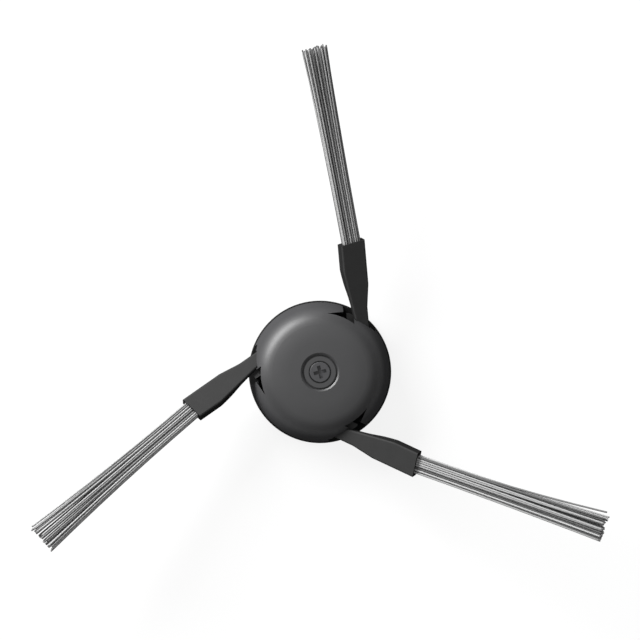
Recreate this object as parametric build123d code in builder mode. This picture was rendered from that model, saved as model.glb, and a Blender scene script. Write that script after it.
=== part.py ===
from build123d import *
import os
from math import asin, cos, degrees, radians, sin, tan

# Side brush of a robot vacuum cleaner: a two-part moulded hub, soft arms and their bristle tufts
# The hub turns about Z, the drive side rests on Z = 0 and the dome faces up, all in millimetres

# Clearances
fit_clearance = 0.1
arm_clearance = 0.15
root_clearance = 0.4

# Drive-side half of the hub
hub_radius = 19.0
parting_height = 2.2
foot_chamfer = 0.5
foot_width = 2.6
rim_chamfer = 0.3
ring_thickness = 1.2
ring_height = 1.6
hollow_depth = 1.0
hollow_margin = 1.2
hollow_corner = 0.5
rib_count = 6
rib_width = 1.4

# Square drive socket in the middle
boss_radius = 6.4
boss_height = 9.0
socket_width = 7.4
socket_corner = 1.2
socket_depth = 7.4
socket_chamfer = 0.5

# Domed half of the hub
cover_step = 0.4
cover_wall = 2.0
skirt_height = 3.0
crown_radius = 130.0
crown_reach = 8.2
brow_radius = 25.0
brow_angle = 14.0
middle_radius = 4.2
middle_drop = 0.15
groove_width = 0.5
groove_depth = 1.1
groove_slope_width = 0.45
groove_slope_angle = 28.0

# Fixing screw and the ring that keeps it captive
screw_diameter = 3.0
screw_hole_diameter = 3.4
screw_length = 8.0
screw_tip_chamfer = 0.4
head_diameter = 5.4
head_height = 1.0
head_edge_radius = 0.15
head_clearance = 0.3
cross_width = 0.9
cross_span = 3.4
cross_depth = 0.7
cross_angle = 14.0
retainer_diameter = 6.0
retainer_thickness = 0.9

# Place of the first arm: its heading seen from above, how far inside the rim it passes, and its slopes
arm_count = 3
arm_heading = 95.0
arm_inset = 7.75
arm_height = 4.94
arm_rise_angle = 12.5
arm_roll_angle = 15.0

# Outline of an arm along its own axis, measured from its point nearest to the hub's axis
strap_start = 6.5
neck_left = 0.0
neck_right = 2.5
neck_length = 16.9
neck_thickness = 2.2
sleeve_width = 6.64
sleeve_thickness = 4.2
sleeve_start_left = 27.0
sleeve_start_right = 23.0
flare_radius = 6.0
swell_start = 17.0
swell_end = 25.5
sleeve_mouth = 34.3
mouth_angle = 9.2
mouth_overhang = 0.2
arm_edge_radius = 0.5

# Root of an arm, clamped between the two halves on a peg
root_bottom = 4.4
root_level = 0.8
root_start = 8.4
root_end = 15.0
root_left = 2.9
root_right = 3.9
root_web = 5.0
root_setback = 1.5
seat_setback = 1.0
eyelet_top = 8.2
eyelet_distance = 4.2
eyelet_radius = 3.5
peg_diameter = 3.2
peg_hole_diameter = 3.4
peg_grip = 1.4
peg_chamfer = 0.3

# Window in the hub's wall for an arm, and the open notch on the arm's trailing side
window_gap = 0.8
window_level = 1.8
notch_inset = 3.25
notch_left = 1.0

# Bristle tuft held in a sleeve
tuft_lean = 5.6
tuft_width = 4.75
tuft_thickness = 2.6
tuft_corner = 0.5
pocket_depth = 6.0
bristle_length = 53.6
bristle_straight = 14.0
bristle_diameter = 0.38
bristle_pitch = 0.48
bristle_sides = 6
fan_angle = 1.6
tip_scatter = 0.7
scatter_angle_across = 109.0
scatter_angle_up = 155.0

# Values that follow from the sizes above
cover_radius = hub_radius - cover_step
shoulder_height = parting_height + skirt_height
crown_angle = degrees(asin(crown_reach / crown_radius))
brow_reach = crown_reach + brow_radius * (sin(radians(brow_angle)) - sin(radians(crown_angle)))
shoulder_radius = (cover_radius - brow_reach) / (1 - sin(radians(brow_angle)))
brow_height = shoulder_height + shoulder_radius * cos(radians(brow_angle))
brow_drop = brow_radius * (cos(radians(crown_angle)) - cos(radians(brow_angle)))
crown_height = brow_height + brow_drop + crown_radius * (1 - cos(radians(crown_angle)))
middle_top = crown_height - middle_drop
groove_floor = middle_top - groove_depth
groove_radius = middle_radius + groove_width
lip_radius = groove_radius + groove_slope_width
lip_height = crown_height - crown_radius + (crown_radius**2 - lip_radius**2) ** 0.5
slope_bottom = lip_height - groove_slope_width * tan(radians(groove_slope_angle))
screw_seat = middle_top - head_height
ring_radius = cover_radius - cover_wall - fit_clearance
root_radius = hub_radius - root_setback
seat_radius = hub_radius - seat_setback
arm_offset = hub_radius - arm_inset
notch_radius = hub_radius - notch_inset
notch_end = root_end + root_clearance
peg_top = eyelet_top + peg_grip
neck_bottom = sleeve_thickness / 2 - neck_thickness
arm_step = 360 / arm_count
beyond = 2 * hub_radius

# Planes of the first arm: x along the arm, y to its left and z out of its top
arm_foot = Vector(arm_offset, 0, arm_height).rotate(Axis.Z, arm_heading - 90)
arm_plane = Plane(Location(arm_foot, (arm_roll_angle, -arm_rise_angle, arm_heading), Extrinsic.XYZ))
arm_side_plane = Plane(arm_plane.origin, x_dir=arm_plane.x_dir, z_dir=-arm_plane.y_dir)
arm_course = Vector(1, 0, 0).rotate(Axis.Z, arm_heading)
arm_plan = Plane((arm_foot.X, arm_foot.Y, 0), x_dir=arm_course, z_dir=(0, 0, 1))

# Plane of the sleeve's mouth, facing along the bristles
leaning_plane = arm_plane.rotated((0, 0, tuft_lean))
mouth_centre = arm_plane.from_local_coords(Vector(sleeve_mouth, 0, 0))
mouth_plane = Plane(mouth_centre, x_dir=leaning_plane.y_dir, z_dir=leaning_plane.x_dir)

# Plane that ends a sleeve, a little more slanted than the bristles' own ends
slanted_plane = arm_plane.rotated((0, 0, mouth_angle))
lip_centre = arm_plane.from_local_coords(Vector(sleeve_mouth + mouth_overhang, 0, 0))
lip_plane = Plane(lip_centre, x_dir=slanted_plane.y_dir, z_dir=slanted_plane.x_dir)


# Outline of an arm from above, from inside the hub to past its mouth
def strap_outline(level, grow):
    half = sleeve_width / 2
    end = sleeve_mouth + sleeve_width
    with BuildSketch(arm_plane.offset(level)) as outline:
        with BuildLine():
            Polyline(
                (strap_start, -neck_right),
                (neck_length, -neck_right),
                (sleeve_start_right, -half),
                (end, -half),
                (end, half),
                (sleeve_start_left, half),
                (strap_start, neck_left),
                close=True,
            )
        make_face()
        for bend in ((sleeve_start_left, half), (sleeve_start_right, -half), (neck_length, -neck_right)):
            fillet(outline.vertices().sort_by_distance(bend)[0], flare_radius)
        if grow > 0:
            offset(amount=grow, kind=Kind.INTERSECTION)
    return outline.sketch


# Block of an arm's root from above, which stands in the window, and of its seat
def root_block(level, radius):
    with BuildSketch(arm_plan.offset(level)) as outline:
        with Locations((root_start, -root_right)):
            Rectangle(root_end - root_start, root_left + root_right, align=Align.MIN)
        with Locations((eyelet_distance, 0)):
            Rectangle(root_end - eyelet_distance, root_web, align=(Align.MIN, Align.CENTER))
        with Locations((0, arm_offset)):
            Circle(radius, mode=Mode.INTERSECT)
    return outline.sketch


# Eyelet of an arm's root from above, without its hole
def eyelet(level, radius):
    with BuildSketch(arm_plan.offset(level)) as outline:
        with Locations((eyelet_distance, 0)):
            Circle(radius)
    return outline.sketch


# Notch beside an arm, between the dome's edge and the flat end of the arm's pocket
with BuildPart() as notch:
    with BuildSketch(arm_plan.offset(root_bottom)):
        with Locations((0, notch_left)):
            Rectangle(notch_end, arm_offset - notch_left, align=Align.MIN)
        with Locations((0, arm_offset)):
            Circle(notch_radius, mode=Mode.SUBTRACT)
    extrude(amount=crown_height)

# Room for an arm in the cover: the window in the wall, the slot round the neck and the notch
with BuildPart() as arm_room:
    with BuildSketch(arm_plan.offset(parting_height - fit_clearance)):
        with Locations((root_start - root_clearance, -root_right - root_clearance)):
            Rectangle(beyond, root_right + root_clearance + root_left + window_gap, align=Align.MIN)
    extrude(amount=beyond)
    split(bisect_by=arm_plane.offset(window_level), keep=Keep.BOTTOM)
    slot_floor = neck_bottom - arm_clearance
    extrude(strap_outline(slot_floor, arm_clearance), amount=neck_thickness + 2 * arm_clearance)
    add(notch.part)

# Hollow inside the cover, with the middle boss and the clamp bosses left standing
with BuildPart() as cover_hollow:
    with BuildSketch(Plane.XZ):
        bend = shoulder_radius - cover_wall
        reach = cover_radius - shoulder_radius
        near = bend * sin(radians(30))
        far = bend * cos(radians(30))
        bottom = parting_height - fit_clearance
        with BuildLine():
            Polyline(
                (0, bottom),
                (reach + bend, bottom),
                (reach + bend, shoulder_height),
                (reach + far, shoulder_height + near),
                (reach + near, shoulder_height + far),
                (reach, shoulder_height + bend),
                (0, shoulder_height + bend),
                close=True,
            )
        make_face()
    revolve(axis=Axis.Z)
    # the base's boss has room under a lower dome too
    with BuildSketch(Plane.XY.offset(bottom)):
        Circle(boss_radius)
    extrude(amount=boss_height - bottom)
    with BuildSketch(Plane.XY.offset(boss_height)):
        Circle(boss_radius)
    extrude(amount=crown_height, mode=Mode.SUBTRACT)
    for index in range(arm_count):
        clamp = eyelet(eyelet_top, eyelet_radius).rotate(Axis.Z, index * arm_step)
        extrude(clamp, amount=crown_height, mode=Mode.SUBTRACT)

# Domed cover that stands on the base round its locating ring
with BuildPart() as hub_cover:
    with BuildSketch(Plane.XZ):
        with BuildLine():
            crown = TangentArc((0, crown_height), (crown_reach, brow_height + brow_drop), tangent=(1, 0))
            brow = TangentArc(crown @ 1, (brow_reach, brow_height), tangent=crown % 1)
            shoulder = TangentArc(brow @ 1, (cover_radius, shoulder_height), tangent=brow % 1)
            Polyline(shoulder @ 1, (cover_radius, parting_height), (0, parting_height), (0, crown_height))
        make_face()
    revolve(axis=Axis.Z)
    # ring groove with a sloped edge round a flat middle, and the seat of the screw's head
    with BuildSketch(Plane.XY.offset(groove_floor)):
        Circle(groove_radius)
    extrude(amount=crown_height, mode=Mode.SUBTRACT)
    with BuildSketch(Plane.XZ):
        with BuildLine():
            Polyline(
                (0, slope_bottom),
                (groove_radius, slope_bottom),
                (lip_radius, lip_height),
                (lip_radius, crown_height),
                (0, crown_height),
                close=True,
            )
        make_face()
    revolve(axis=Axis.Z, mode=Mode.SUBTRACT)
    with BuildSketch(Plane.XY.offset(groove_floor)):
        Circle(middle_radius)
    extrude(amount=groove_depth)
    with BuildSketch(Plane.XY.offset(screw_seat)):
        Circle(head_diameter / 2 + head_clearance)
    extrude(amount=crown_height, mode=Mode.SUBTRACT)
    add(cover_hollow.part, mode=Mode.SUBTRACT)
    with PolarLocations(0, arm_count):
        add(arm_room.part, mode=Mode.SUBTRACT)
    # blind holes that grip the pegs
    for index in range(arm_count):
        grip = eyelet(eyelet_top, peg_diameter / 2).rotate(Axis.Z, index * arm_step)
        extrude(grip, amount=peg_grip + fit_clearance, mode=Mode.SUBTRACT)
    # room for the ring on the screw
    with BuildSketch(Plane.XY.offset(boss_height)):
        Circle(retainer_diameter / 2 + fit_clearance)
    extrude(amount=retainer_thickness + fit_clearance, mode=Mode.SUBTRACT)
    Hole(screw_hole_diameter / 2)
hub_cover.part.label = "hub_cover"

# Peg that holds an arm's eyelet, with a lead-in at its top
with BuildPart() as peg:
    extrude(eyelet(parting_height, peg_diameter / 2), amount=peg_top - parting_height)
    chamfer(peg.faces().sort_by(Axis.Z)[-1].edges(), peg_chamfer)

# Base with the rim, the seats and pegs of the arms, and the drive socket
with BuildPart() as hub_base:
    with BuildSketch():
        Circle(hub_radius)
    extrude(amount=parting_height)
    chamfer(hub_base.faces().sort_by(Axis.Z)[0].edges(), foot_chamfer)
    chamfer(hub_base.faces().sort_by(Axis.Z)[-1].edges(), rim_chamfer)
    with BuildSketch(Plane.XY.offset(parting_height)):
        Circle(ring_radius)
        Circle(ring_radius - ring_thickness, mode=Mode.SUBTRACT)
    extrude(amount=ring_height)
    with BuildSketch(Plane.XY.offset(parting_height)):
        Circle(boss_radius)
    extrude(amount=boss_height - parting_height)
    for index in range(arm_count):
        for seat in (root_block(parting_height, seat_radius), eyelet(parting_height, eyelet_radius)):
            extrude(seat.rotate(Axis.Z, index * arm_step), amount=root_bottom - parting_height)
    with PolarLocations(0, arm_count):
        add(peg.part)
    # shallow hollows round the socket on the drive side, with ribs between them
    with BuildSketch() as hollows:
        Circle(hub_radius - foot_width)
        Circle(boss_radius + hollow_margin, mode=Mode.SUBTRACT)
        with PolarLocations(0, rib_count):
            with Locations((beyond / 2, 0)):
                Rectangle(beyond, rib_width, mode=Mode.SUBTRACT)
        fillet(hollows.vertices(), hollow_corner)
    extrude(amount=hollow_depth, mode=Mode.SUBTRACT)
    # socket with a lead-in round its mouth
    with BuildSketch():
        RectangleRounded(socket_width, socket_width, socket_corner)
    extrude(amount=socket_depth, mode=Mode.SUBTRACT)
    with BuildSketch():
        mouth_width = socket_width + 2 * socket_chamfer
        RectangleRounded(mouth_width, mouth_width, socket_corner + socket_chamfer)
    with BuildSketch(Plane.XY.offset(socket_chamfer)):
        RectangleRounded(socket_width, socket_width, socket_corner)
    loft(ruled=True, mode=Mode.SUBTRACT)
    Hole(screw_hole_diameter / 2)
hub_base.part.label = "hub_base"

# Captive screw with a low round head and a plain cross recess
with BuildPart() as fixing_screw:
    with BuildSketch(Plane.XZ) as half_section:
        with BuildLine():
            tip = screw_seat - screw_length
            Polyline(
                (0, tip),
                (screw_diameter / 2 - screw_tip_chamfer, tip),
                (screw_diameter / 2, tip + screw_tip_chamfer),
                (screw_diameter / 2, screw_seat),
                (head_diameter / 2, screw_seat),
                (head_diameter / 2, middle_top),
                (0, middle_top),
                close=True,
            )
        make_face()
        fillet(half_section.vertices().group_by(Axis.Y)[-1].sort_by(Axis.X)[-1], head_edge_radius)
    revolve(axis=Axis.Z)
    with BuildSketch(Plane.XY.offset(middle_top)):
        Rectangle(cross_span, cross_width, rotation=cross_angle)
        Rectangle(cross_width, cross_span, rotation=cross_angle)
    extrude(amount=-cross_depth, mode=Mode.SUBTRACT)
fixing_screw.part.label = "fixing_screw"

# Ring on the screw, trapped between the two halves
with BuildPart() as screw_retainer:
    with BuildSketch(Plane.XY.offset(boss_height)):
        Circle(retainer_diameter / 2)
        Circle(screw_diameter / 2, mode=Mode.SUBTRACT)
    extrude(amount=retainer_thickness)
screw_retainer.part.label = "screw_retainer"

# Block at an arm's root, with a top that slopes as the arm does
with BuildPart() as root:
    extrude(root_block(root_bottom, root_radius), amount=crown_height)
    split(bisect_by=arm_plane.offset(root_level), keep=Keep.BOTTOM)

# Arm with a thin neck that swells into the sleeve, and its root in the hub
with BuildPart() as arm:
    extrude(strap_outline(-sleeve_thickness / 2, 0), amount=sleeve_thickness)
    with BuildSketch(arm_side_plane):
        half = sleeve_thickness / 2
        end = sleeve_mouth + 2 * sleeve_width
        middle = ((swell_start + swell_end) / 2, (neck_bottom - half) / 2)
        with BuildLine():
            lower = TangentArc((swell_start, neck_bottom), middle, tangent=(1, 0))
            upper = TangentArc(middle, (swell_end, -half), tangent=lower % 1)
            Polyline(upper @ 1, (end, -half), (end, half), (0, half), (0, neck_bottom), lower @ 0)
        make_face()
    extrude(amount=sleeve_width, both=True, mode=Mode.INTERSECT)
    long_edges = arm.edges().filter_by(lambda edge: abs((edge % 0.5).dot(arm_plane.x_dir)) > 0.7)
    fillet(long_edges, arm_edge_radius)
    split(bisect_by=lip_plane, keep=Keep.BOTTOM)
    with BuildSketch(mouth_plane):
        RectangleRounded(tuft_width, tuft_thickness, tuft_corner)
    extrude(amount=-pocket_depth, mode=Mode.SUBTRACT)
    with BuildSketch(mouth_plane):
        Rectangle(tuft_width, tuft_thickness)
    extrude(amount=sleeve_width, mode=Mode.SUBTRACT)
    add(root.part)
    extrude(eyelet(root_bottom, eyelet_radius), amount=eyelet_top - root_bottom)
    extrude(eyelet(root_bottom, peg_hole_diameter / 2), amount=crown_height, mode=Mode.SUBTRACT)

# Bristles of one tuft: straight out of the sleeve, then fanning towards uneven tips
columns = int((tuft_width - bristle_diameter) / bristle_pitch) + 1
rows = int((tuft_thickness - bristle_diameter) / bristle_pitch) + 1
column_pitch = (tuft_width - bristle_diameter) / (columns - 1)
row_pitch = (tuft_thickness - bristle_diameter) / (rows - 1)
bristles = []
for row in range(rows):
    for column in range(columns - row % 2):
        across = (column - (columns - 1 - row % 2) / 2) * column_pitch
        up = (row - (rows - 1) / 2) * row_pitch
        scatter_angle = scatter_angle_across * column + scatter_angle_up * row
        bristles.append((across, up, sin(radians(scatter_angle))))
with BuildPart() as tuft:
    with BuildSketch(mouth_plane):
        RectangleRounded(tuft_width, tuft_thickness, tuft_corner)
    extrude(amount=-pocket_depth)
    with BuildSketch(mouth_plane):
        with Locations(*[(across, up) for across, up, scatter in bristles]):
            RegularPolygon(bristle_diameter / 2, bristle_sides)
    extrude(amount=bristle_straight)
    fan = 2 * tan(radians(fan_angle))
    fanned = []
    for across, up, scatter in bristles:
        lean = Vector(fan * across / tuft_width, fan * up / tuft_thickness, 1)
        direction = mouth_plane.from_local_coords(lean) - mouth_plane.origin
        with BuildSketch(mouth_plane.offset(bristle_straight), mode=Mode.PRIVATE) as cut:
            with Locations((across, up)):
                RegularPolygon(bristle_diameter / 2, bristle_sides)
        reach = bristle_length - bristle_straight + tip_scatter * scatter
        fanned.append(extrude(cut.sketch, amount=reach, dir=direction, mode=Mode.PRIVATE))
    add(fanned)

os.makedirs("parts", exist_ok=True)
for piece in (hub_cover, hub_base, fixing_screw, screw_retainer):
    export_step(piece.part, f"parts/{piece.part.label}.step")
for index in range(arm_count):
    for piece, name in ((arm, "arm"), (tuft, "bristle_tuft")):
        turned = piece.part.rotate(Axis.Z, index * arm_step)
        turned.label = f"{name}_{index + 1}"
        export_step(turned, f"parts/{turned.label}.step")
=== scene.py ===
import math
import random
import bpy
from mathutils import Matrix, Vector


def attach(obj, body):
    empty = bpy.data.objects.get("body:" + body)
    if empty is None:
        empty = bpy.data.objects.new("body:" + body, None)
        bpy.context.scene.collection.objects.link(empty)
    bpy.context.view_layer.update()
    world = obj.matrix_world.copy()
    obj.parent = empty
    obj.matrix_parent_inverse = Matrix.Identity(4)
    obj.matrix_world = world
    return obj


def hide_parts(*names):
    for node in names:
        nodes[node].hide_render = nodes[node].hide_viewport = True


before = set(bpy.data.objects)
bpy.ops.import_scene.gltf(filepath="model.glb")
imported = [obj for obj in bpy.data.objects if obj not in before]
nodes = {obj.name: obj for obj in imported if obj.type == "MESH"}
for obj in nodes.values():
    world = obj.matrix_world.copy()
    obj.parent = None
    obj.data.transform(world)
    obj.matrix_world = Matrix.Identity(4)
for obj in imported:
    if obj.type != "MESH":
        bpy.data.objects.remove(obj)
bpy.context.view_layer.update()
mm = 0.001
print("frame loaded:", sorted(nodes))


def hexColour(code):  # sRGB hex to linear RGBA
    parts = [int(code[i:i + 2], 16) / 255 for i in (1, 3, 5)]
    return [p / 12.92 if p <= 0.04045 else ((p + 0.055) / 1.055) ** 2.4 for p in parts] + [1.0]


def addNode(tree, kind, links=None, **settings):  # links: socket name to a value or to another node's output
    node = tree.nodes.new(kind)
    for name, value in settings.items():
        setattr(node, name, value)
    for name, value in (links or {}).items():
        if isinstance(value, bpy.types.NodeSocket):
            tree.links.new(value, node.inputs[name])
        else:
            node.inputs[name].default_value = value
    return node


def newMaterial(name):
    material = bpy.data.materials.new(name)
    material.use_nodes = True
    material.node_tree.nodes.clear()
    return material, material.node_tree


def deselectAll():
    bpy.ops.object.select_all(action="DESELECT")


# moulded ABS from a spark-eroded tool: a satin skin with a fine even grain and faint clouds from the flow,
# polished by handling on the dome and duller on the flank below it, where its colour is lifted as painted light
coverPlastic = {
    "light": "#3c3c3d",
    "dark": "#373738",
    "cloudSize": 9.0,  # mm
    "grainSize": 0.5,  # mm, the real grain is near 0.1 mm and is drawn coarser so that it shows
    "grainHeight": 0.004,  # mm
    "roughness": (0.38, 0.44),
    "ior": 1.54,
    "dullAndPaintedLight": {  # by height: full on the flank, none on the dome; the shade there lifts the colour as painted light
        "by": "Object", "full": 9.4 * mm, "none": 12.5 * mm, "roughness": 0.3, "sheen": 0.0, "shade": 1.3,
    },
}

# the base is black ABS from a plain milled tool: deeper in colour, duller, with broader marks; its black is
# partly painted shade for the deep window gaps over it
basePlastic = {
    "light": "#0e0e0e",
    "dark": "#0a0a0a",
    "cloudSize": 5.0,  # mm
    "grainSize": 0.8,  # mm
    "grainHeight": 0.005,  # mm
    "roughness": (0.55, 0.65),
    "ior": 1.25,
}

# moulded thermoplastic rubber: dark and matte, with a dry, slightly dusty skin; the flat sides are darkened as
# painted shade
armRubber = {
    "light": "#2e2e2e",
    "dark": "#282828",
    "cloudSize": 2.5,  # mm
    "grainSize": 0.35,  # mm, drawn coarser than it is
    "grainHeight": 0.006,  # mm
    "roughness": (0.60, 0.72),
    "ior": 1.38,
    "dullAndPaintedLight": {  # by how far a face looks up: full on the sides, none on top; the shade there darkens the sides as painted shade
        "by": "Normal", "full": 0.4, "none": 0.85, "roughness": 0.2, "sheen": 0.0, "shade": 0.85,
    },
}

# blackened steel: a thin dark oxide that is duller in blotches
screwSteel = {
    "light": "#424244",
    "dark": "#363638",
    "cloudSize": 1.2,  # mm
    "grainSize": 0.25,  # mm
    "grainHeight": 0.002,  # mm
    "roughness": (0.38, 0.50),
    "ior": 1.50,
}

# natural moulded nylon: off-white, waxy and slightly uneven
retainerNylon = {
    "light": "#d2d0c9",
    "dark": "#c6c4bb",
    "cloudSize": 2.0,  # mm
    "grainSize": 0.3,  # mm
    "grainHeight": 0.003,  # mm
    "roughness": (0.42, 0.50),
    "ior": 1.53,
}

# drawn nylon: round filaments with a soft sheen along them, each a little lighter or darker than the next; the
# stored tone also carries painted light and shade
bristleNylon = {
    "dark": "#2b2b2b",
    "light": "#bdbdbd",
    "streakSize": 1.5,  # mm
    "roughness": (0.30, 0.40),
    "ior": 1.53,
}

noiseDetail = {"cloud": 3.0, "grain": 4.0, "streak": 2.0}
plainSheen = 0.5  # the shader's own level


def finishSkin(name, look):  # clouds give the colour, the grain gives the roughness and the bump
    material, tree = newMaterial(name)
    place = addNode(tree, "ShaderNodeTexCoord").outputs
    cloud = addNode(tree, "ShaderNodeTexNoise", {
        "Vector": place["Object"], "Scale": 1 / (look["cloudSize"] * mm), "Detail": noiseDetail["cloud"],
    }).outputs["Fac"]
    grain = addNode(tree, "ShaderNodeTexNoise", {
        "Vector": place["Object"], "Scale": 1 / (look["grainSize"] * mm), "Detail": noiseDetail["grain"],
    }).outputs["Fac"]
    colour = addNode(tree, "ShaderNodeMix", {
        0: cloud, 6: hexColour(look["dark"]), 7: hexColour(look["light"]),
    }, data_type="RGBA").outputs[2]
    low, high = look["roughness"]
    rough = addNode(tree, "ShaderNodeMapRange", {
        "Value": grain, "To Min": low, "To Max": high,
    }).outputs["Result"]
    sheen = plainSheen
    if "dullAndPaintedLight" in look:  # adds roughness, takes the sheen off and scales the colour: painted light on the cover's flank, painted shade on the arms' sides
        dullAndPaintedLight = look["dullAndPaintedLight"]
        up = addNode(tree, "ShaderNodeSeparateXYZ", {"Vector": place[dullAndPaintedLight["by"]]}).outputs["Z"]
        topShare = addNode(tree, "ShaderNodeMapRange", {
            "Value": up, "From Min": dullAndPaintedLight["full"], "From Max": dullAndPaintedLight["none"],
        }, interpolation_type="SMOOTHSTEP").outputs["Result"]
        extra, sheen, shade = (
            addNode(tree, "ShaderNodeMapRange", {
                "Value": topShare, "To Min": atFull, "To Max": atNone,
            }).outputs["Result"]
            for atFull, atNone in ((dullAndPaintedLight["roughness"], 0.0), (dullAndPaintedLight["sheen"], plainSheen), (dullAndPaintedLight["shade"], 1.0))
        )
        rough = addNode(tree, "ShaderNodeMath", {0: rough, 1: extra}, operation="ADD").outputs[0]
        colour = addNode(tree, "ShaderNodeVectorMath", {
            0: colour, "Scale": shade,
        }, operation="SCALE").outputs["Vector"]
    bump = addNode(tree, "ShaderNodeBump", {"Height": grain, "Distance": look["grainHeight"] * mm})
    shader = addNode(tree, "ShaderNodeBsdfPrincipled", {
        "Base Color": colour,
        "Roughness": rough,
        "Normal": bump.outputs["Normal"],
        "IOR": look["ior"],
        "Specular IOR Level": sheen,
    })
    addNode(tree, "ShaderNodeOutputMaterial", {"Surface": shader.outputs["BSDF"]})
    return material


def finishBristles(name, look):  # the tone is stored on each filament
    material, tree = newMaterial(name)
    spot = addNode(tree, "ShaderNodeTexCoord").outputs["Object"]
    tone = addNode(tree, "ShaderNodeAttribute", attribute_name="tone")
    streak = addNode(tree, "ShaderNodeTexNoise", {
        "Vector": spot, "Scale": 1 / (look["streakSize"] * mm), "Detail": noiseDetail["streak"],
    })
    colour = addNode(tree, "ShaderNodeMix", {
        0: tone.outputs["Fac"], 6: hexColour(look["dark"]), 7: hexColour(look["light"]),
    }, data_type="RGBA")
    low, high = look["roughness"]
    rough = addNode(tree, "ShaderNodeMapRange", {
        "Value": streak.outputs["Fac"], "To Min": low, "To Max": high,
    })
    shader = addNode(tree, "ShaderNodeBsdfPrincipled", {
        "Base Color": colour.outputs[2],
        "Roughness": rough.outputs["Result"],
        "IOR": look["ior"],
    })
    addNode(tree, "ShaderNodeOutputMaterial", {"Surface": shader.outputs["BSDF"]})
    return material


mouldedAbs = finishSkin("mouldedAbs", coverPlastic)
blackAbs = finishSkin("blackAbs", basePlastic)
softRubber = finishSkin("thermoplasticRubber", armRubber)
blackSteel = finishSkin("blackenedSteel", screwSteel)
whiteNylon = finishSkin("naturalNylon", retainerNylon)
drawnNylon = finishBristles("drawnNylon", bristleNylon)
finishes = {
    "hub_cover": mouldedAbs, "hub_base": blackAbs, "fixing_screw": blackSteel, "screw_retainer": whiteNylon,
    "arm_1": softRubber, "arm_2": softRubber, "arm_3": softRubber,
}
for name, finish in finishes.items():
    nodes[name].data.materials.clear()
    nodes[name].data.materials.append(finish)
print("materials made")

# the sleeve's mouth of the first arm, in the same sizes as the solid arms (mm and degrees)
sleeve = {
    "heading": 95.0,
    "rise": 12.5,
    "roll": 15.0,
    "offset": 11.25,
    "height": 4.94,
    "mouth": 34.3,
    "lean": 5.6,
}


def mouthMatrix(turn):  # x to the arm's left, y out of its top, z along the bristles
    heading = math.radians(sleeve["heading"])
    foot = Vector((math.sin(heading), -math.cos(heading), 0)) * sleeve["offset"]
    foot.z = sleeve["height"]
    slope = (
        Matrix.Rotation(heading, 4, "Z")
        @ Matrix.Rotation(-math.radians(sleeve["rise"]), 4, "Y")
        @ Matrix.Rotation(math.radians(sleeve["roll"]), 4, "X")
    )
    mouth = (foot + slope @ Vector((sleeve["mouth"], 0, 0))) * mm
    axes = Matrix(((0, 0, 1, 0), (1, 0, 0, 0), (0, 1, 0, 0), (0, 0, 0, 1)))
    return (
        Matrix.Rotation(math.radians(turn), 4, "Z")
        @ Matrix.Translation(mouth)
        @ Matrix.Rotation(math.radians(sleeve["lean"]), 4, "Z")
        @ slope
        @ axes
    )


# bristles: one filament is modelled at each of a few bends, then copied into the tufts (mm)
bristle = {
    "diameter": 0.52,
    "sides": 6,
    "steps": 6,
    "inSleeve": 5.6,
    "length": 53.6,
    "bends": (0.0, 0.35, 0.7, 1.05, 1.4, 1.8, 2.3, 2.9),  # sideways at the tip
    "cutEnd": 0.55,  # the last stretch at the tip, darkened on many filaments as painted shade for the cut ends
    "tipTaper": 0.8,
    "smoothAngle": 65.0,  # degrees
}


def modelBristle(bend):
    deselectAll()
    bpy.ops.mesh.primitive_circle_add(
        vertices=bristle["sides"], radius=bristle["diameter"] / 2 * mm, fill_type="NGON",
        location=(0, 0, -bristle["inSleeve"] * mm),
    )
    form = bpy.context.object
    bpy.ops.object.transform_apply(location=True, rotation=True, scale=True)
    bpy.ops.object.mode_set(mode="EDIT")
    bpy.ops.mesh.select_all(action="SELECT")
    straight = bristle["length"] - bristle["cutEnd"]
    stops = [straight * index / bristle["steps"] for index in range(bristle["steps"] + 1)]
    stops.append(bristle["length"])
    lastStop, lastSide = -bristle["inSleeve"], 0.0
    for stop in stops:
        side = bend * (stop / bristle["length"]) ** 2
        bpy.ops.mesh.extrude_region_move(
            TRANSFORM_OT_translate={"value": ((side - lastSide) * mm, 0, (stop - lastStop) * mm)})
        lastStop, lastSide = stop, side
    bpy.ops.transform.resize(value=(bristle["tipTaper"], bristle["tipTaper"], 1))
    bpy.ops.mesh.select_all(action="SELECT")
    bpy.ops.mesh.normals_make_consistent(inside=False)
    bpy.ops.object.mode_set(mode="OBJECT")
    bpy.ops.object.shade_smooth_by_angle(angle=math.radians(bristle["smoothAngle"]))
    return form


# tufts: rows of filaments in the sleeve that spread towards the tips (mm, left and right seen from the hub)
tuftShared = {
    "width": 4.75,
    "thickness": 2.6,
    "columns": 8,
    "rows": 5,
    "wideGaps": 2,  # gaps in a row through which the inside filaments, darkened as painted shade, show
    "gapShare": (0.1, 0.5),
    "wideShare": 2.0,
    "wander": 0.2,
    "spreadUp": 0.55,
    "uneven": 0.35,
    "shadeLineEvery": 5,  # on the outside of the tuft every so many filaments are darkened as painted shade, for the shadowed gaps
    "shadeLineTone": (0.08, 0.25),
    # inside filaments are darker as painted shade
    "shadedInsideTone": (0.15, 0.7),
    "strayTone": 0.3,
    "strayLevel": 0.3,
    # tips painted in shade keep this share of their tone
    "tipShadeTone": 0.05,
}
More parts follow.
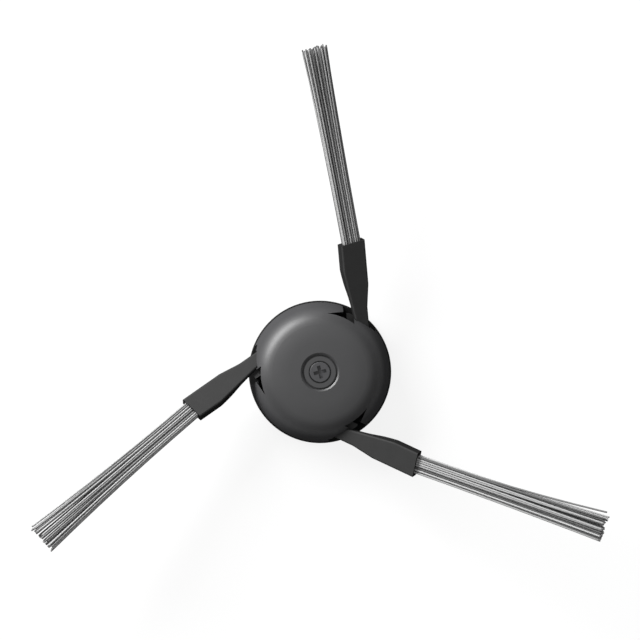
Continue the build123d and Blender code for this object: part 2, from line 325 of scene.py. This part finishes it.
# each tuft's tone range is set lighter or darker as painted light, for how the softbox falls on it
tufts = {
    "bristle_tuft_1": {
        "turn": 0, "seed": 11, "spreadLeft": 1.0, "spreadRight": 0.75, "strays": (),
        "tone": (0.3, 0.8), "shadedEnds": 0.3,
    },
    "bristle_tuft_2": {
        "turn": 120, "seed": 5, "spreadLeft": 1.7, "spreadRight": 1.6, "strays": (),
        "tone": (0.24, 0.68), "shadedEnds": 0.6,
    },
    "bristle_tuft_3": {
        "turn": 240, "seed": 8, "spreadLeft": 1.3, "spreadRight": 0.8, "strays": (2.9,),
        "tone": (0.6, 1.0), "shadedEnds": 0.8,
    },
}


def rowPlaces(draw):  # filaments side by side, with the spare width shared out unevenly
    count = tuftShared["columns"]
    span = tuftShared["width"] - bristle["diameter"]
    shares = [draw.uniform(*tuftShared["gapShare"]) for gap in range(count - 1)]
    for gap in draw.sample(range(count - 1), tuftShared["wideGaps"]):
        shares[gap] += tuftShared["wideShare"]
    spare = span - (count - 1) * bristle["diameter"]
    places = [-span / 2]
    for share in shares:
        places.append(places[-1] + bristle["diameter"] + spare * share / sum(shares))
    return places


def makeTuft(name, forms, settings):
    draw = random.Random(settings["seed"])
    rows, columns = tuftShared["rows"], tuftShared["columns"]
    halfWidth = (tuftShared["width"] - bristle["diameter"]) / 2
    halfThick = (tuftShared["thickness"] - bristle["diameter"]) / 2
    spots = []
    for row in range(rows):
        y = halfThick * (2 * row / (rows - 1) - 1)
        first = draw.randrange(tuftShared["shadeLineEvery"])
        for column, x in enumerate(rowPlaces(draw)):
            # outer filaments take the tuft's tone; inside ones and every few outer ones get darker tones as
            # painted shade
            tones = settings["tone"]
            if row not in (0, rows - 1) and column not in (0, columns - 1):
                tones = tuftShared["shadedInsideTone"]
            elif (column + first) % tuftShared["shadeLineEvery"] == 0:
                tones = tuftShared["shadeLineTone"]
            spots.append((x, y, draw.uniform(*tones), None))
    for stray in settings["strays"]:
        spots.append((halfWidth, tuftShared["strayLevel"] * halfThick, tuftShared["strayTone"], stray))
    place = mouthMatrix(settings["turn"])
    copies = []
    for x, y, shade, stray in spots:
        spread = settings["spreadLeft"] if x > 0 else settings["spreadRight"]
        shiftX = stray or spread * x / halfWidth + draw.gauss(0, tuftShared["wander"])
        shiftY = tuftShared["spreadUp"] * y / halfThick + draw.gauss(0, tuftShared["wander"])
        bend = math.hypot(shiftX, shiftY)
        form = min(forms, key=lambda other: abs(other["bend"] - bend))["piece"]
        longer = draw.uniform(-1, 1) * tuftShared["uneven"]
        # painted shade on the cut ends of some tips
        endShade = shade * (tuftShared["tipShadeTone"] if draw.random() < settings["shadedEnds"] else 1)
        copy = form.copy()
        copy.data = form.data.copy()
        tone = copy.data.attributes.new("tone", "FLOAT", "POINT")
        tip = (bristle["length"] - bristle["cutEnd"] / 2) * mm
        tone.data.foreach_set("value", [endShade if v.co.z > tip else shade for v in copy.data.vertices])
        copy.matrix_world = (
            place
            @ Matrix.Translation((x * mm, y * mm, 0))
            @ Matrix.Rotation(math.atan2(shiftY, shiftX), 4, "Z")
            @ Matrix.Diagonal((1, 1, 1 + longer / bristle["length"], 1))
        )
        bpy.context.collection.objects.link(copy)
        copies.append(copy)
    deselectAll()
    for copy in copies:
        copy.select_set(True)
    bpy.context.view_layer.objects.active = copies[0]
    bpy.ops.object.transform_apply(location=True, rotation=True, scale=True)
    bpy.ops.object.join()
    tuft = bpy.context.object
    tuft.name = "nylon_" + name
    tuft.data.materials.clear()
    tuft.data.materials.append(drawnNylon)
    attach(tuft, "root")
    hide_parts(name)
    print(tuft.name, len(spots), "bristles,", len(tuft.data.polygons), "faces")


forms = [{"bend": bend, "piece": modelBristle(bend)} for bend in bristle["bends"]]
for name, settings in tufts.items():
    makeTuft(name, forms, settings)
for form in forms:
    bpy.data.objects.remove(form["piece"])
print("tufts made")

# studio: a pale floor under the hub, one wide softbox from the upper left and a dim room with a pale ceiling (m)
studio = {
    "floorSize": 8.0,
    "floorDrop": 0.00005,  # the floor lies a hair under the hub's foot, so that no two faces coincide
    "floor": "#a8a8a8",
    "seenFloor": "#ffffff",  # what the camera and reflections see of the same paper
    "floorGlow": 0.85,  # how far the camera sees it lifted to white
    "mirroredGlow": 0.3,  # the same in reflections, where its shadow stays deeper
    "softboxSize": (0.95, 0.38),
    "softboxDistance": 1.1,
    "softboxTilt": 62.8,  # degrees from straight up
    "softboxHeading": 137.0,
    "softboxPower": 27.3,
    "ceiling": 0.62,
    "walls": 0.1,
    "ceilingEdge": (0.55, 0.85),  # height of the sky direction where the walls end and the ceiling is full
}


def makeStudio():
    deselectAll()
    bpy.ops.mesh.primitive_plane_add(size=studio["floorSize"], location=(0, 0, -studio["floorDrop"]))
    floor = bpy.context.object
    floor.name = "paleFloor"
    material, tree = newMaterial("palePaper")
    seen = addNode(tree, "ShaderNodeLightPath").outputs
    mirrored = addNode(tree, "ShaderNodeMath", {
        0: seen["Is Glossy Ray"], 1: seen["Is Transmission Ray"],
    }, operation="MAXIMUM").outputs[0]
    either = addNode(tree, "ShaderNodeMath", {
        0: seen["Is Camera Ray"], 1: mirrored,
    }, operation="MAXIMUM").outputs[0]
    weak = addNode(tree, "ShaderNodeMath", {
        0: mirrored, 1: studio["mirroredGlow"],
    }, operation="MULTIPLY").outputs[0]
    lift = addNode(tree, "ShaderNodeMath", {
        0: seen["Is Camera Ray"], 1: studio["floorGlow"], 2: weak,
    }, operation="MULTIPLY_ADD").outputs[0]
    tint = addNode(tree, "ShaderNodeMix", {
        0: either, 6: hexColour(studio["floor"]), 7: hexColour(studio["seenFloor"]),
    }, data_type="RGBA")
    paper = addNode(tree, "ShaderNodeBsdfDiffuse", {"Color": tint.outputs[2]})
    white = addNode(tree, "ShaderNodeEmission", {"Strength": 1.0})
    mix = addNode(tree, "ShaderNodeMixShader", {0: lift, 1: paper.outputs[0], 2: white.outputs[0]})
    addNode(tree, "ShaderNodeOutputMaterial", {"Surface": mix.outputs[0]})
    floor.data.materials.append(material)

    tilt = math.radians(studio["softboxTilt"])
    heading = math.radians(studio["softboxHeading"])
    toLight = Vector((math.sin(tilt) * math.cos(heading), math.sin(tilt) * math.sin(heading), math.cos(tilt)))
    lamp = bpy.data.lights.new("softbox", "AREA")
    lamp.shape = "RECTANGLE"
    lamp.size, lamp.size_y = studio["softboxSize"]
    lamp.energy = studio["softboxPower"]
    softbox = bpy.data.objects.new("softbox", lamp)
    softbox.location = toLight * studio["softboxDistance"]
    softbox.rotation_euler = toLight.to_track_quat("Z", "Y").to_euler()
    bpy.context.collection.objects.link(softbox)

    world = bpy.data.worlds.new("dimRoom")
    world.use_nodes = True
    tree = world.node_tree
    tree.nodes.clear()
    direction = addNode(tree, "ShaderNodeTexCoord").outputs["Generated"]
    height = addNode(tree, "ShaderNodeSeparateXYZ", {"Vector": direction}).outputs["Z"]
    low, high = studio["ceilingEdge"]
    level = addNode(tree, "ShaderNodeMapRange", {
        "Value": height, "From Min": low, "From Max": high,
        "To Min": studio["walls"], "To Max": studio["ceiling"],
    }, interpolation_type="SMOOTHSTEP")
    glow = addNode(tree, "ShaderNodeBackground", {
        "Color": (1, 1, 1, 1), "Strength": level.outputs["Result"],
    })
    addNode(tree, "ShaderNodeOutputWorld", {"Surface": glow.outputs["Background"]})
    bpy.context.scene.world = world


# camera straight above, far off with a long lens, framed as the photograph (mm)
camera = {
    "centre": (0.013, 13.834),
    "distance": 3000.0,
    "hubPlane": 5.4,
    "frameWidth": 170.43,
    "sensor": 36.0,
    "clipEnd": 20.0,  # m
}


def makeCamera():
    data = bpy.data.cameras.new("camera")
    data.sensor_width = camera["sensor"]
    data.lens = camera["sensor"] * camera["distance"] / camera["frameWidth"]
    data.clip_end = camera["clipEnd"]
    eye = bpy.data.objects.new("camera", data)
    eye.location = Vector((*camera["centre"], camera["distance"] + camera["hubPlane"])) * mm
    bpy.context.collection.objects.link(eye)
    bpy.context.scene.camera = eye


makeStudio()
makeCamera()
bpy.context.scene.view_settings.view_transform = "Standard"
print("studio and camera set")
